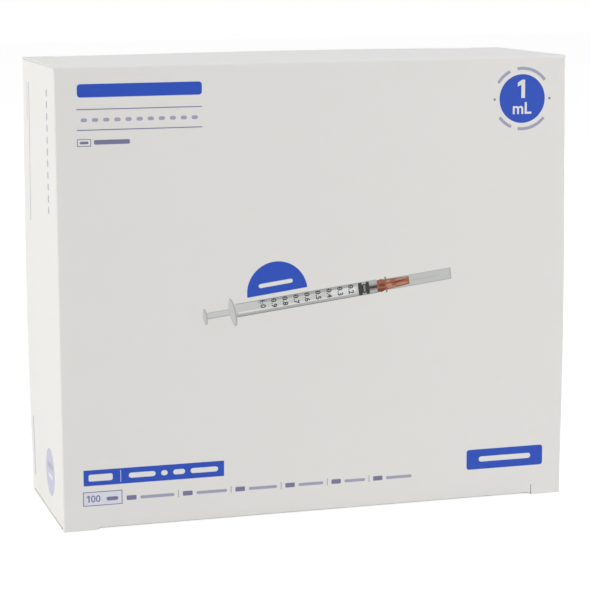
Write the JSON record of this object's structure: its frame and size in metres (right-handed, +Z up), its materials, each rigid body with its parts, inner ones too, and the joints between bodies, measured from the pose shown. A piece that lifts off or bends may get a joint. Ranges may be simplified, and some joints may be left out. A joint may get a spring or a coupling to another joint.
{
  "type": "syringe carton",
  "caption": "Closed folding carton of wrapped tuberculin syringes: a tuck-in lid on top, a tuck-in closure underneath, and the sealed packs standing in two files inside.",
  "frame": {"origin": "middle of the carton's foot, on the surface it stands on", "axes": "+X along the front panel to the right, -Y out of the front panel, +Z up"},
  "size_m": [0.1916, 0.0684, 0.1655],
  "materials": {
    "board": "coated white board, satin",
    "wrap": "paper and clear film peel pack"
  },
  "bodies": {
    "carton": {"carton_body": "board", "wrapped_syringes_01": "wrap", "wrapped_syringes_02": "wrap", "wrapped_syringes_03": "wrap", "wrapped_syringes_04": "wrap", "wrapped_syringes_05": "wrap", "wrapped_syringes_06": "wrap", "wrapped_syringes_07": "wrap", "wrapped_syringes_08": "wrap", "wrapped_syringes_09": "wrap", "wrapped_syringes_10": "wrap", "wrapped_syringes_11": "wrap", "wrapped_syringes_12": "wrap", "wrapped_syringes_13": "wrap", "wrapped_syringes_14": "wrap", "wrapped_syringes_15": "wrap", "wrapped_syringes_16": "wrap", "wrapped_syringes_17": "wrap", "wrapped_syringes_18": "wrap", "wrapped_syringes_19": "wrap", "wrapped_syringes_20": "wrap", "wrapped_syringes_21": "wrap", "wrapped_syringes_22": "wrap", "wrapped_syringes_23": "wrap", "wrapped_syringes_24": "wrap", "wrapped_syringes_25": "wrap", "wrapped_syringes_26": "wrap", "wrapped_syringes_27": "wrap", "wrapped_syringes_28": "wrap", "wrapped_syringes_29": "wrap", "wrapped_syringes_30": "wrap", "wrapped_syringes_31": "wrap", "wrapped_syringes_32": "wrap", "wrapped_syringes_33": "wrap", "wrapped_syringes_34": "wrap", "wrapped_syringes_35": "wrap", "wrapped_syringes_36": "wrap", "wrapped_syringes_37": "wrap", "wrapped_syringes_38": "wrap", "wrapped_syringes_39": "wrap", "wrapped_syringes_40": "wrap", "wrapped_syringes_41": "wrap", "wrapped_syringes_42": "wrap", "wrapped_syringes_43": "wrap", "wrapped_syringes_44": "wrap", "wrapped_syringes_45": "wrap", "wrapped_syringes_46": "wrap", "wrapped_syringes_47": "wrap", "wrapped_syringes_48": "wrap", "wrapped_syringes_49": "wrap", "wrapped_syringes_50": "wrap"},
    "lid": {"top_lid": "board"},
    "closure": {"bottom_closure": "board"}
  },
  "joints": [
    {"name": "lid_fold", "type": "hinge", "parent": "carton", "child": "lid", "pos_m": [0, -0.033, 0.1638], "axis": [1, 0, 0], "range_deg": [0, 165]},
    {"name": "closure_fold", "type": "hinge", "parent": "carton", "child": "closure", "pos_m": [0, 0.033, 0.0012], "axis": [1, 0, 0], "range_deg": [0, 165]}
  ]
}
